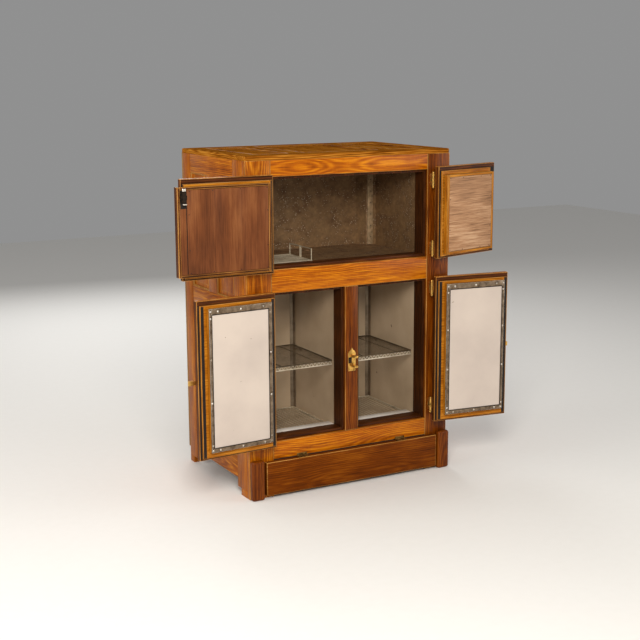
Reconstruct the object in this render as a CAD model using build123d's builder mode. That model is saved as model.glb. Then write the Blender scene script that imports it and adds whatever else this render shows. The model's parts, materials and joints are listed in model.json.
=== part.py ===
# Antique oak icebox: panelled cabinet, metal-lined ice chamber over two enamelled
# food compartments, four stepped insulated doors, drip pan behind a kick flap.
# Millimetres. +Z up, the front faces -Y, origin on the floor under the case centre.
from build123d import *
import math
import os

os.makedirs("parts", exist_ok=True)

# ---- driving dimensions -------------------------------------------------
case_w = 835.0          # overall case width
case_d = 557.0          # overall case depth
case_h = 1220.0         # overall height
board = 22.0            # thickness of frame members
stile_w = 96.0          # front stile width
mullion_w = 53.4        # bar between the two food doors
upper_z0 = 824.0        # ice door opening, bottom
upper_z1 = 1146.0       # ice door opening, top
lower_z0 = 203.0        # food door openings, bottom
lower_z1 = 741.0        # food door openings, top
sill_z0 = 138.0         # underside of the sill rail
top_t = 16.0            # thickness of the top
back_t = 12.0           # back boards
jamb_in = 9.0           # how far the inner jamb steps into the opening
jamb_set = 12.0         # depth of the rebate in front of that step
jamb_d = 70.0           # whole depth of the door opening
sheet = 1.5             # lining sheet
inner_x = 314.0         # half width between the linings
inner_y = 130.0         # back of the linings
ice_floor_z = 829.0
food_floor_z = 200.0
food_top_z = 737.0
ice_top_z = 1141.0

# doors, measured from the hinge pin: u to the free edge, v outwards
lip = 4.0               # overlap of the outer leaf on the case face, sides and bottom
lip_top = 12.0          # overlap at the top
pin_off = 4.5           # pin to the leaf's corner, both ways
leaf_t = 20.0           # outer frame of a door
step_t = 10.0           # rebated layer
plug_t = 18.0           # inner plug
step_in = 4.0           # rebated layer inside the opening
plug_in = 26.0          # food door plug inside the opening, sides
plug_in_low = 27.0      # food door plug inside the opening, bottom
plug_in_top = 12.0      # food door plug inside the opening, top
ice_in = 12.0           # ice door plug inside the opening
ul_hinge_in = 20.0      # left ice door plug, hinge side
ur_top_in = 18.0        # right ice door plug, top
rim = 8.0               # raised rim round an ice door's inner board
rim_t = 4.0
rail_w = 60.0           # door stiles and rails
ul_meet = 12.0          # where the left ice door's outer leaf ends
meet_gap = 2.0          # gap between the two ice doors' outer leaves
ul_tongue = 36.0        # where its inner tongue ends
ur_plug = 55.0          # where the right ice door's plug ends
open_ul = 180.0         # door angles as stored, degrees from shut
open_ll = 176.0
open_ur = 194.0
open_lr = 173.0

# hinges and latches
knuckle_r = 5.0
knuckle_h = 44.0
hinge_pin_r = 2.2
hinge_play = 0.05       # radial clearance of a knuckle on its pin
hinge_gap = 0.4         # axial gap between knuckles
ball_r = 5.0
leaf_plate = 2.0
hinge_z_upper = (1109.0, 856.0)
hinge_z_lower = (708.0, 260.0)
latch_z_upper = 985.0
latch_z_lower = 468.0
lever_pin_r = 2.0
lever_play = 0.06

# base
block_w = 50.0
block_t = 25.0
block_h = 142.0
flap_z0 = 12.5
flap_z1 = 136.0
flap_half = 364.0
flap_pin_r = 1.4
flap_barrel_r = 2.4
flap_hinge_x = (-208.0, 208.0)
flap_hinge_w = 44.0

# shelves
rod_r = 3.0
wire_r = 1.5
shelf_z = 452.0         # underside of a middle shelf
shelf_y0 = -205.0
shelf_y1 = 112.0
truss_h = 15.0          # front edge truss of a middle shelf
shelf_pitch = 11.0
rack_pitch = 15.0

half_w = case_w / 2
half_d = case_d / 2
open_x = half_w - stile_w
mull_x = mullion_w / 2
front_y = -half_d
frame_y = front_y + board
ring_y = front_y + jamb_set
liner_y = front_y + jamb_d
side_x = half_w - board
back_y = half_d - back_t
under_top = case_h - top_t
pin_x = open_x + lip + pin_off
pin_y = front_y - leaf_t - pin_off

# levels of a door's layers, outwards from the pin
v_face = -pin_off
v_back = v_face - leaf_t
v_step = v_back - step_t
v_plug = v_step - plug_t
v_rim = v_plug - rim_t
u_edge = pin_off
u_open = pin_off + lip


def slab(x0, x1, y0, y1, z0, z1, mode=Mode.ADD):
    """A plain board between six limits."""
    with Locations(((x0 + x1) / 2, (y0 + y1) / 2, (z0 + z1) / 2)):
        Box(x1 - x0, y1 - y0, z1 - z0, mode=mode)


def rod_y(x, z, y0, y1, r, mode=Mode.ADD):
    with Locations(Location((x, (y0 + y1) / 2, z), (90, 0, 0))):
        Cylinder(r, y1 - y0, mode=mode)


def rod_x(y, z, x0, x1, r, mode=Mode.ADD):
    with Locations(Location(((x0 + x1) / 2, y, z), (0, 90, 0))):
        Cylinder(r, x1 - x0, mode=mode)


def rod_z(x, y, z0, z1, r, mode=Mode.ADD):
    with Locations((x, y, (z0 + z1) / 2)):
        Cylinder(r, z1 - z0, mode=mode)


def save(builder, label):
    builder.part.label = label
    export_step(builder.part, "parts/" + label + ".step")


# ---- case: face frame ---------------------------------------------------
with BuildPart() as stiles:
    for s in (-1, 1):
        outer = s * half_w
        inner = s * open_x
        slab(min(outer, inner), max(outer, inner), front_y, frame_y, 0, under_top)
    corners = stiles.edges().filter_by(Axis.Z).group_by(Axis.Y)[0]
    chamfer(corners.filter_by(lambda e: abs(e.center().X) > half_w - 1), 1.5)
save(stiles, "stiles")

with BuildPart() as front_rails:
    slab(-open_x, open_x, front_y, frame_y, upper_z1, under_top)
    slab(-open_x, open_x, front_y, frame_y, lower_z1, upper_z0)
    slab(-open_x, open_x, front_y, frame_y, sill_z0, lower_z0)
save(front_rails, "front_rails")

with BuildPart() as mullion:
    slab(-mull_x, mull_x, front_y, frame_y, lower_z0, lower_z1)
save(mullion, "mullion")

# ---- case: panelled sides -----------------------------------------------
rear_stile_y = 200.0
front_stile_y = -176.0
muntin_y = (-24.0, 49.0)
side_rail_z = ((58.0, 138.0), (640.0, 709.0), (1135.0, under_top))
panel_set = 8.0         # how far the panels sit behind the frame's face
panel_t = 10.0
foot_cut = (33.0, 25.0)

panel_fields = []
for y0, y1 in ((front_stile_y, muntin_y[0]), (muntin_y[1], rear_stile_y)):
    for z0, z1 in ((side_rail_z[0][1], side_rail_z[1][0]), (side_rail_z[1][1], side_rail_z[2][0])):
        panel_fields.append((y0, y1, z0, z1))

with BuildPart() as side_frames:
    for s in (-1, 1):
        lo = min(s * half_w, s * side_x)
        hi = max(s * half_w, s * side_x)
        with BuildSketch(Plane.YZ.offset(lo)):
            with BuildLine():
                Polyline(
                    (frame_y, 0),
                    (front_stile_y - foot_cut[0], 0),
                    (front_stile_y, foot_cut[1]),
                    (front_stile_y, side_rail_z[0][0]),
                    (rear_stile_y, side_rail_z[0][0]),
                    (rear_stile_y, foot_cut[1]),
                    (rear_stile_y + foot_cut[0], 0),
                    (back_y, 0),
                    (back_y, under_top),
                    (frame_y, under_top),
                    close=True,
                )
            make_face()
            for y0, y1, z0, z1 in panel_fields:
                with Locations(((y0 + y1) / 2, (z0 + z1) / 2)):
                    Rectangle(y1 - y0, z1 - z0, mode=Mode.SUBTRACT)
        extrude(amount=hi - lo)
    outer_edges = []
    for edge in side_frames.edges().filter_by(lambda e: abs(abs(e.center().X) - half_w) < 0.1):
        for y0, y1, z0, z1 in panel_fields:
            c = edge.center()
            inside = y0 - 0.1 < c.Y < y1 + 0.1 and z0 - 0.1 < c.Z < z1 + 0.1
            if inside:
                outer_edges.append(edge)
    chamfer(outer_edges, 4.0)
save(side_frames, "side_frames")

with BuildPart() as side_panels:
    for s in (-1, 1):
        face = s * (half_w - panel_set)
        inner = s * (half_w - panel_set - panel_t)
        for y0, y1, z0, z1 in panel_fields:
            slab(min(face, inner), max(face, inner), y0, y1, z0, z1)
save(side_panels, "side_panels")

# ---- case: back, floor, top ---------------------------------------------
with BuildPart() as back_boards:
    slab(-half_w, half_w, back_y, half_d, side_rail_z[0][0], under_top)
    for k in range(1, 7):
        x = -half_w + k * case_w / 7
        with Locations(Location((x, half_d, (side_rail_z[0][0] + under_top) / 2), (0, 0, 45))):
            Box(4, 4, under_top, mode=Mode.SUBTRACT)
save(back_boards, "back_boards")

drain_y = 60.0
drain_r = 12.0

deck_z = ice_floor_z - sheet - 20

with BuildPart() as decks:
    # bottom boards, and the deck that carries the ice
    slab(-side_x, side_x, frame_y, back_y, sill_z0, sill_z0 + 12)
    slab(-open_x, open_x, liner_y, inner_y + sheet, deck_z, ice_floor_z - sheet)
    rod_z(0, drain_y, sill_z0 - 1, ice_floor_z, drain_r + 1, mode=Mode.SUBTRACT)
save(decks, "decks")

top_over = 2.0
top_rail = 74.0
top_muntins = ((-216.0, -150.0), (150.0, 216.0))
top_x = half_w + top_over
top_y0 = front_y - top_over
top_y1 = half_d + top_over
top_fields = (
    (-top_x + top_rail, top_muntins[0][0]),
    (top_muntins[0][1], top_muntins[1][0]),
    (top_muntins[1][1], top_x - top_rail),
)

with BuildPart() as top_frame:
    slab(-top_x, top_x, top_y0, top_y1, under_top, case_h)
    fillet(top_frame.edges().filter_by(Axis.Z), 14)
    for x0, x1 in top_fields:
        slab(x0, x1, top_y0 + top_rail, top_y1 - top_rail, under_top, case_h + 1, mode=Mode.SUBTRACT)
    rim_edges = top_frame.faces().sort_by(Axis.Z)[-1].outer_wire().edges()
    fillet(rim_edges, 5)
save(top_frame, "top_frame")

with BuildPart() as top_panels:
    for x0, x1 in top_fields:
        slab(x0, x1, top_y0 + top_rail, top_y1 - top_rail, under_top, case_h - 5)
save(top_panels, "top_panels")


# ---- case: stepped jambs, linings, insulation ---------------------------
def jamb_ring(x0, x1, z0, z1):
    slab(x0, x1, ring_y, liner_y, z0, z1)
    slab(x0 + jamb_in, x1 - jamb_in, ring_y - 1, liner_y + 1, z0 + jamb_in, z1 - jamb_in, Mode.SUBTRACT)


with BuildPart() as jambs:
    jamb_ring(-open_x, open_x, upper_z0, upper_z1)
    jamb_ring(-open_x, -mull_x, lower_z0, lower_z1)
    jamb_ring(mull_x, open_x, lower_z0, lower_z1)
save(jambs, "jambs")

duct = (
    (inner_x - 58, inner_y),
    (inner_x - 36, inner_y - 40),
    (inner_x - 14, inner_y - 52),
    (inner_x, inner_y - 52),
)

duct_inner = (
    (duct[0][0] + 2, inner_y),
    (duct[1][0] + 1.4, duct[1][1] + 1.6),
    (duct[2][0], duct[2][1] + sheet),
    (inner_x, duct[3][1] + sheet),
    (inner_x, inner_y),
)

with BuildPart() as ice_liner:
    out = inner_x + sheet
    slab(-out, out, liner_y, inner_y + sheet, ice_floor_z - sheet, ice_top_z + sheet)
    slab(-inner_x, inner_x, liner_y - 1, inner_y, ice_floor_z, ice_top_z, Mode.SUBTRACT)
    # air duct across the rear right corner
    with BuildSketch(Plane.XY.offset(ice_floor_z)):
        with BuildLine():
            Polyline(*duct, (inner_x, inner_y), close=True)
        make_face()
    extrude(amount=ice_top_z - ice_floor_z)
    with BuildSketch(Plane.XY.offset(ice_floor_z)):
        with BuildLine():
            Polyline(*duct_inner, close=True)
        make_face()
    extrude(amount=ice_top_z - ice_floor_z, mode=Mode.SUBTRACT)
    rod_z(0, drain_y, ice_floor_z - 3, ice_floor_z + 1, drain_r, mode=Mode.SUBTRACT)
save(ice_liner, "ice_liner")


def food_liner(x0, x1):
    slab(x0, x1, liner_y, inner_y + sheet, food_floor_z - sheet, food_top_z + sheet)
    slab(x0 + sheet, x1 - sheet, liner_y - 1, inner_y, food_floor_z, food_top_z, Mode.SUBTRACT)


with BuildPart() as food_liner_left:
    food_liner(-inner_x - sheet, -mull_x)
save(food_liner_left, "food_liner_left")

with BuildPart() as food_liner_right:
    food_liner(mull_x, inner_x + sheet)
save(food_liner_right, "food_liner_right")

with BuildPart() as partition:
    slab(-mull_x, mull_x, frame_y, inner_y + sheet, lower_z0 - 4.5, food_top_z + sheet)
    rod_z(0, drain_y, lower_z0 - 10, food_top_z + 10, drain_r + 1, mode=Mode.SUBTRACT)
save(partition, "partition")

with BuildPart() as insulation:
    for s in (-1, 1):
        a = s * open_x
        b = s * side_x
        slab(min(a, b), max(a, b), frame_y, back_y, sill_z0 + 12, under_top)
    slab(-open_x, open_x, inner_y + sheet, back_y, sill_z0 + 12, under_top)
    slab(-open_x, open_x, liner_y, inner_y + sheet, ice_top_z + sheet, under_top)
    slab(-open_x, open_x, liner_y, inner_y + sheet, food_top_z + sheet, deck_z)
    slab(-open_x, open_x, liner_y, inner_y + sheet, sill_z0 + 12, food_floor_z - sheet)
    rod_z(0, drain_y, sill_z0, deck_z + 1, drain_r + 1, mode=Mode.SUBTRACT)
save(insulation, "insulation")

drain_wall = 1.2

with BuildPart() as drain_pipe:
    rod_z(0, drain_y, 84, ice_floor_z - 0.5, drain_r - 0.3)
    rod_z(0, drain_y, 83, ice_floor_z + 1, drain_r - 0.3 - drain_wall, mode=Mode.SUBTRACT)
    with Locations((0, drain_y, sill_z0 - 1.5)):
        Cylinder(drain_r + 10, 3)
    rod_z(0, drain_y, 83, ice_floor_z + 1, drain_r - 0.3 - drain_wall, mode=Mode.SUBTRACT)
save(drain_pipe, "drain_pipe")

# ---- food compartments: corner coves and shelf brackets -----------------
cove = 16.0
bracket = (22.0, 14.0)
left_walls = (-inner_x, -mull_x - sheet)
right_walls = (mull_x + sheet, inner_x)


def cove_strip(x, sx):
    """Angle strip bent across a rear corner."""
    with BuildSketch(Plane.XY.offset(food_floor_z)) as section:
        with BuildLine():
            Polyline(
                (x, inner_y),
                (x, inner_y - cove),
                (x + sx * sheet, inner_y - cove),
                (x + sx * 5, inner_y - 5),
                (x + sx * cove, inner_y - sheet),
                (x + sx * cove, inner_y),
                close=True,
            )
        make_face()
    extrude(section.sketch, amount=food_top_z - food_floor_z)


with BuildPart() as compartment_trim:
    for x0, x1 in (left_walls, right_walls):
        cove_strip(x0, 1)
        cove_strip(x1, -1)
    for x0, x1 in (left_walls, right_walls):
        for y in (-150.0, 70.0):
            for x, s in ((x0, 1), (x1, -1)):
                a = x
                b = x + s * bracket[0]
                slab(min(a, b), max(a, b), y - 9, y + 9, shelf_z - 2.5, shelf_z)
                c = x + s * 2.5
                slab(min(a, c), max(a, c), y - 9, y + 9, shelf_z - bracket[1], shelf_z - 2.5)
save(compartment_trim, "compartment_trim")


# ---- wire shelves and racks ---------------------------------------------
def wire_grid(x0, x1, y0, y1, z, across, pitch, truss):
    """Rod frame with welded wires; across runs them along X."""
    for x in (x0 + rod_r, x1 - rod_r):
        rod_y(x, z, y0 + rod_r, y1 - rod_r, rod_r)
    for y in (y0 + rod_r, y1 - rod_r):
        rod_x(y, z, x0 + rod_r, x1 - rod_r, rod_r)
    for x in (x0 + rod_r, x1 - rod_r):
        for y in (y0 + rod_r, y1 - rod_r):
            with Locations((x, y, z)):
                Sphere(rod_r)
    span = (y1 - y0) if across else (x1 - x0)
    count = int((span - 2 * rod_r) // pitch)
    first = (span - (count - 1) * pitch) / 2
    for k in range(count):
        at = first + k * pitch
        if across:
            rod_x(y0 + at, z + 0.6, x0 + rod_r, x1 - rod_r, wire_r)
        else:
            rod_y(x0 + at, z + 0.6, y0 + rod_r, y1 - rod_r, wire_r)
    if truss:
        rod_x(y0 + rod_r, z - truss_h, x0 + rod_r, x1 - rod_r, rod_r - 0.8)
        for x in (x0 + rod_r, x1 - rod_r, (x0 + x1) / 2):
            rod_z(x, y0 + rod_r, z - truss_h, z, rod_r - 0.8)


grid_z = shelf_z + rod_r
shelf_xs = ((-inner_x + 9, -mull_x - jamb_in - 3), (mull_x + jamb_in + 3, inner_x - 9))

with BuildPart() as shelf_left:
    wire_grid(shelf_xs[0][0], shelf_xs[0][1], shelf_y0, shelf_y1, grid_z, True, shelf_pitch, True)
save(shelf_left, "shelf_left")

with BuildPart() as shelf_right:
    wire_grid(shelf_xs[1][0], shelf_xs[1][1], shelf_y0, shelf_y1, grid_z, True, shelf_pitch, True)
save(shelf_right, "shelf_right")

rack_z = food_floor_z + rod_r
rack_y0 = -150.0

with BuildPart() as floor_rack_left:
    wire_grid(shelf_xs[0][0], shelf_xs[0][1], rack_y0, shelf_y1, rack_z, False, rack_pitch, False)
save(floor_rack_left, "floor_rack_left")

with BuildPart() as floor_rack_right:
    wire_grid(shelf_xs[1][0], shelf_xs[1][1], rack_y0, shelf_y1, rack_z, False, rack_pitch, False)
save(floor_rack_right, "floor_rack_right")

ice_rack_x = (-304.0, -116.0)
ice_rack_y = (-200.0, -18.0)
fence_h = 42.0

with BuildPart() as ice_rack:
    zr = ice_floor_z + rod_r
    wire_grid(ice_rack_x[0], ice_rack_x[1], ice_rack_y[0], ice_rack_y[1], zr, True, 24.0, False)
    xf = ice_rack_x[1] - rod_r
    mid = (ice_rack_y[0] + ice_rack_y[1]) / 2
    for y0, y1 in ((ice_rack_y[0] + 6, mid - 4), (mid + 4, ice_rack_y[1] - 6)):
        rod_y(xf, zr + fence_h, y0, y1, 2.0)
        for y in (y0, y1):
            rod_z(xf, y, zr, zr + fence_h, 2.0)
            with Locations((xf, y, zr + fence_h)):
                Sphere(2.0)
save(ice_rack, "ice_rack")

# ---- base: foot blocks, kick flap, drip pan -----------------------------
with BuildPart() as foot_blocks:
    for s in (-1, 1):
        a = s * half_w
        b = s * (half_w - block_w)
        slab(min(a, b), max(a, b), front_y - block_t, front_y, 0, block_h)
    tops = foot_blocks.edges().filter_by(Axis.X).group_by(Axis.Y)[0].group_by(Axis.Z)[-1]
    fillet(tops, 9)
save(foot_blocks, "foot_blocks")

flap_y = front_y - board
flap_pin_y = front_y - sheet - 1.2
flap_pin_z = flap_z1 + sheet + 1.2

with BuildPart() as kick_flap:
    slab(-flap_half, flap_half, flap_y, front_y, flap_z0, flap_z1)
    front_edges = kick_flap.edges().filter_by(Axis.X).group_by(Axis.Y)[0]
    chamfer(front_edges, 2)
    for x in flap_hinge_x:
        slab(x - flap_hinge_w / 2 - 1, x + flap_hinge_w / 2 + 1, front_y - 6, front_y + 1,
             flap_z1 - 1.6, flap_z1 + 1, Mode.SUBTRACT)
save(kick_flap, "kick_flap")

with BuildPart() as hinges_case:
    for x in flap_hinge_x:
        w = flap_hinge_w / 2
        slab(x - w, x + w, front_y - sheet, front_y, flap_pin_z, flap_pin_z + 24)
        for a, b in ((-w, -w / 3), (w / 3, w)):
            rod_x(flap_pin_y, flap_pin_z, x + a, x + b, flap_barrel_r)
        rod_x(flap_pin_y, flap_pin_z, x - w, x + w, flap_pin_r)
        slab(x - w / 3 - 0.3, x + w / 3 + 0.3, front_y - 8, front_y + 1, flap_pin_z - 3,
             flap_pin_z + 4, Mode.SUBTRACT)
        rod_x(flap_pin_y, flap_pin_z, x - w / 3 - 0.3, x + w / 3 + 0.3, flap_pin_r)
    third = knuckle_h / 6
    for side in (-1, 1):
        for z in hinge_z_upper + hinge_z_lower:
            px = side * pin_x
            foot = sorted((side * (pin_x + 2.5), side * (pin_x + 30)))
            web = sorted((side * (pin_x + 2.5), side * (pin_x + 5)))
            slab(foot[0], foot[1], front_y - leaf_plate, front_y, z - 22, z + 22)
            for z0, z1 in ((z - 22, z - third - hinge_gap), (z + third + hinge_gap, z + 22)):
                slab(web[0], web[1], pin_y, front_y - leaf_plate + 0.5, z0, z1)
                rod_z(px, pin_y, z0, z1, knuckle_r)
            rod_z(px, pin_y, z - 23, z + 23, hinge_pin_r)
            for dz in (-24.5, 24.5):
                with Locations((px, pin_y, z + dz)):
                    Sphere(ball_r)
            for dz in (-14, 14):
                for du in (12, 23):
                    at = (side * (pin_x + du), front_y - leaf_plate, z + dz)
                    with Locations(Location(at, (90, 0, 0))):
                        Cylinder(2.6, 1.2)
save(hinges_case, "hinges_case")

with BuildPart() as flap_hinges:
    for x in flap_hinge_x:
        w = flap_hinge_w / 2
        leaf_top = flap_pin_z - flap_barrel_r - 0.2
        slab(x - w, x + w, flap_y + 3, front_y - 6.2, flap_z1, flap_z1 + sheet)
        slab(x - w / 3 + 0.2, x + w / 3 - 0.2, front_y - 6.4, flap_pin_y, flap_z1, flap_z1 + sheet)
        rod_x(flap_pin_y, flap_pin_z, x - w / 3 + 0.2, x + w / 3 - 0.2, flap_barrel_r)
        rod_x(flap_pin_y, flap_pin_z, x - w / 3 - 1, x + w / 3 + 1, flap_pin_r + hinge_play, Mode.SUBTRACT)
save(flap_hinges, "flap_hinges")

pan_half = 165.0
pan_y = (-170.0, 150.0)
pan_h = 68.0
pan_draft = 12.0

with BuildPart() as drip_pan:
    pan_c = (pan_y[0] + pan_y[1]) / 2
    pan_len = pan_y[1] - pan_y[0]
    with BuildSketch(Plane.XY):
        with Locations((0, pan_c)):
            RectangleRounded(2 * (pan_half - pan_draft), pan_len - 2 * pan_draft, 24)
    with BuildSketch(Plane.XY.offset(pan_h)):
        with Locations((0, pan_c)):
            RectangleRounded(2 * pan_half, pan_len, 30)
    loft()
    with BuildSketch(Plane.XY.offset(2)):
        with Locations((0, pan_c)):
            RectangleRounded(2 * (pan_half - pan_draft) - 4, pan_len - 2 * pan_draft - 4, 22)
    with BuildSketch(Plane.XY.offset(pan_h + 0.5)):
        with Locations((0, pan_c)):
            RectangleRounded(2 * pan_half - 4, pan_len - 4, 28)
    loft(mode=Mode.SUBTRACT)
save(drip_pan, "drip_pan")


# ---- doors --------------------------------------------------------------
def door_plane(side, angle):
    """Pin axis of a door; local x runs to its free edge."""
    a = math.radians(angle)
    x_dir = (-side * math.cos(a), -math.sin(a), 0)
    return Plane(origin=(side * pin_x, pin_y, 0), x_dir=x_dir, z_dir=(0, 0, 1))


def leaf(side, u0, u1, v0, v1, z0, z1, mode=Mode.ADD):
    """A board of a door: v is outwards on both hands."""
    a = side * v0
    b = side * v1
    slab(u0, u1, min(a, b), max(a, b), z0, z1, mode)


def door_frame(plane, side, u1, z0, z1):
    """Outer frame of stiles and rails, with a moulded inner edge."""
    with BuildPart(plane) as f:
        leaf(side, u_edge, u1, v_back, v_face, z0, z1)
        leaf(side, u_edge + rail_w, u1 - rail_w, v_back - 1, v_face + 1, z0 + rail_w, z1 - rail_w,
             Mode.SUBTRACT)
        mid_u = (u_edge + u1) / 2
        face_v = side * v_face
        at = plane.from_local_coords((mid_u, face_v, (z0 + z1) / 2))
        outer = f.faces().sort_by_distance(at)
        face = outer.filter_by(lambda q: len(q.inner_wires()) > 0)[0]
        chamfer(face.inner_wires()[0].edges(), 4)
        chamfer(face.outer_wire().edges(), 1.5)
    return f


def door_panel(plane, side, u1, z0, z1):
    """Raised panel held in the frame."""
    a = u_edge + rail_w
    b = u1 - rail_w
    c = z0 + rail_w
    d = z1 - rail_w
    field = 26.0
    with BuildPart(plane) as p:
        leaf(side, a, b, v_back, v_back + 6, c, d)
        outwards = plane.y_dir * side
        for v, inset in ((v_back + 6, 0), (v_back + 13, field)):
            middle = plane.from_local_coords(Vector((a + b) / 2, side * v, (c + d) / 2))
            with BuildSketch(Plane(origin=middle, x_dir=plane.x_dir, z_dir=outwards)):
                Rectangle(b - a - 2 * inset, d - c - 2 * inset)
        loft()
    return p


def door_plug(plane, side, step_u1, u0, u1, z0, z1, low, high, rimmed, tongue):
    """Rebated layer and inner plug in one glued block; a tongue runs on past the step."""
    with BuildPart(plane) as p:
        leaf(side, u_open + step_in, step_u1, v_step, v_back, z0 + step_in, z1 - step_in)
        leaf(side, u0, u1, v_plug, v_step, low, high)
        if tongue:
            leaf(side, step_u1 - 1, u1, v_step, v_back - 4, low, high)
        if rimmed:
            leaf(side, u0, u1, v_rim, v_plug, low, high)
            leaf(side, u0 + rim, u1 - rim, v_rim - 1, v_plug, low + rim, high - rim, Mode.SUBTRACT)
    return p


def door_hinges(plane, side, levels):
    """Door halves of the two hinges: face plate, tongue and middle knuckle."""
    third = knuckle_h / 6
    with BuildPart(plane) as h:
        for z in levels:
            leaf(side, u_edge + 2, u_edge + 36, v_face, v_face + leaf_plate, z - 20, z + 20)
            leaf(side, 0, u_edge + 3, v_face, v_face + leaf_plate, z - third, z + third)
            rod_z(0, 0, z - third, z + third, knuckle_r)
            leaf(side, -6, u_edge, v_face - 2, v_face, z - third - 1, z + third + 1, Mode.SUBTRACT)
            rod_z(0, 0, z - third - 1, z + third + 1, hinge_pin_r + hinge_play, mode=Mode.SUBTRACT)
            for dz in (-13, 13):
                for du in (12, 28):
                    at = (u_edge + du, side * (v_face + leaf_plate), z + dz)
                    with Locations(Location(at, (90, 0, 0))):
                        Cylinder(2.6, 1.2)
    return h


doors = {
    "ul": (-1, open_ul, upper_z0, upper_z1, hinge_z_upper),
    "ur": (1, open_ur, upper_z0, upper_z1, hinge_z_upper),
    "ll": (-1, open_ll, lower_z0, lower_z1, hinge_z_lower),
    "lr": (1, open_lr, lower_z0, lower_z1, hinge_z_lower),
}
u_mull = pin_x - mull_x
leaf_u1 = {
    "ul": pin_x + ul_meet,
    "ur": pin_x - ul_meet - meet_gap,
    "ll": u_mull + lip,
    "lr": u_mull + lip,
}
step_u1 = {
    "ul": pin_x + ul_meet - 6,
    "ur": pin_x - ur_plug + 7,
    "ll": u_mull - step_in,
    "lr": u_mull - step_in,
}
plug_u = {
    "ul": (u_open + ul_hinge_in, pin_x + ul_tongue),
    "ur": (u_open + ice_in, pin_x - ur_plug),
    "ll": (u_open + plug_in, u_mull - plug_in),
    "lr": (u_open + plug_in, u_mull - plug_in),
}
plug_z = {
    "ul": (upper_z0 + ice_in, upper_z1 - ice_in),
    "ur": (upper_z0 + ice_in, upper_z1 - ur_top_in),
    "ll": (lower_z0 + plug_in_low, lower_z1 - plug_in_top),
    "lr": (lower_z0 + plug_in_low, lower_z1 - plug_in_top),
}

planes = {}
for key, (side, angle, z0, z1, levels) in doors.items():
    planes[key] = door_plane(side, angle)
    plane = planes[key]
    upper = key in ("ul", "ur")
    save(door_frame(plane, side, leaf_u1[key], z0 - lip, z1 + lip_top), "frame_" + key)
    save(door_panel(plane, side, leaf_u1[key], z0 - lip, z1 + lip_top), "panel_" + key)
    a, b = plug_u[key]
    c, d = plug_z[key]
    tongue = key == "ul"
    save(door_plug(plane, side, step_u1[key], a, b, z0, z1, c, d, upper, tongue), "plug_" + key)
    save(door_hinges(plane, side, levels), "hinges_" + key)

# inner boards of the ice doors, sheets and screwed strips of the food doors
board_t = 3.0
ledge = 24.0
strip_w = {"hinge": 14.0, "free": 11.0, "bottom": 16.0, "top": 22.0}
strip_t = 1.2
screw_r = 3.2
screw_t = 1.4

for key in ("ul", "ur"):
    side, angle, z0, z1, levels = doors[key]
    a, b = plug_u[key]
    end = b - rim - (ledge if key == "ul" else 0)
    with BuildPart(planes[key]) as inner_board:
        leaf(side, a + rim, end, v_plug - board_t, v_plug, plug_z[key][0] + rim, plug_z[key][1] - rim)
    save(inner_board, "board_" + key)

for key in ("ll", "lr"):
    side, angle, z0, z1, levels = doors[key]
    a, b = plug_u[key]
    c, d = plug_z[key]
    with BuildPart(planes[key]) as enamel_sheet:
        leaf(side, a + 2, b - 2, v_plug - sheet, v_plug, c + 2, d - 2)
    save(enamel_sheet, "sheet_" + key)
    with BuildPart(planes[key]) as edge_strips:
        back = v_plug - sheet
        leaf(side, a, b, back - strip_t, back, c, d)
        leaf(side, a + strip_w["hinge"], b - strip_w["free"], back - 3, back + 1,
             c + strip_w["bottom"], d - strip_w["top"], Mode.SUBTRACT)
        spots = []
        for z in (c + 8, c + 26, (c + d) / 2 - 75, (c + d) / 2 + 75, d - 34, d - 10):
            spots.append((a + strip_w["hinge"] / 2, z))
            spots.append((b - strip_w["free"] / 2, z))
        for u in (a + 34, (a + b) / 2, b - 34):
            spots.append((u, c + strip_w["bottom"] / 2))
            spots.append((u, d - strip_w["top"] / 2))
        for u, z in spots:
            with Locations(Location((u, side * (back - strip_t - screw_t / 2 + 0.1), z), (90, 0, 0))):
                Cylinder(screw_r, screw_t)
    save(edge_strips, "strips_" + key)

# ---- latches ------------------------------------------------------------
lever_u = {"ur": 12.0, "ll": 12.0, "lr": 12.0}
ear_v = 9.0             # height of the lever's pin above the door's face


def latch_case(plane, side, u1, z):
    """Plate with two ears that carry the lever's pin."""
    with BuildPart(plane) as c:
        leaf(side, u1 - 30, u1 - 3, v_face, v_face + 2.5, z - 42, z + 42)
        for dz in (-18, 18):
            s = 3.0
            leaf(side, u1 - 18, u1 - 6, v_face + 2, v_face + ear_v, z + dz - s, z + dz + s)
            with Locations((u1 - 12, side * (v_face + ear_v), z + dz)):
                Cylinder(6, 2 * s)
        rod_z(u1 - 12, side * (v_face + ear_v), z - 18, z + 18, lever_pin_r)
        for dz in (-33, 33):
            with Locations(Location((u1 - 16, side * (v_face + 2.5), z + dz), (90, 0, 0))):
                Cylinder(3.2, 1.4)
    return c


def latch_lever(plane, side, u1, z):
    """Hub on the pin, a tongue past the door's edge and a pull handle."""
    with BuildPart(plane) as h:
        v0 = v_face + ear_v
        with Locations((u1 - 12, side * v0, z)):
            Cylinder(5, 29)
        leaf(side, u1 - 12, u1 + 22, v0 + 1, v0 + 5, z - 8, z + 8)
        leaf(side, u1 - 78, u1 - 12, v0 + 1, v0 + 5, z - 8, z + 8)
        leaf(side, u1 - 86, u1 - 64, v0 + 1, v0 + 8, z - 10, z + 10)
        rod_z(u1 - 12, side * v0, z - 16, z + 16, lever_pin_r + lever_play, mode=Mode.SUBTRACT)
    return h


for key, z in (("ur", latch_z_upper), ("ll", latch_z_lower), ("lr", latch_z_lower)):
    side = doors[key][0]
    save(latch_case(planes[key], side, leaf_u1[key], z), "latch_case_" + key)
    save(latch_lever(planes[key], side, leaf_u1[key], z), "latch_lever_" + key)

# keepers: on the mullion for both food doors, under the top rail for the elbow catch
catch_x = ul_tongue - rim - ledge / 2

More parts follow.
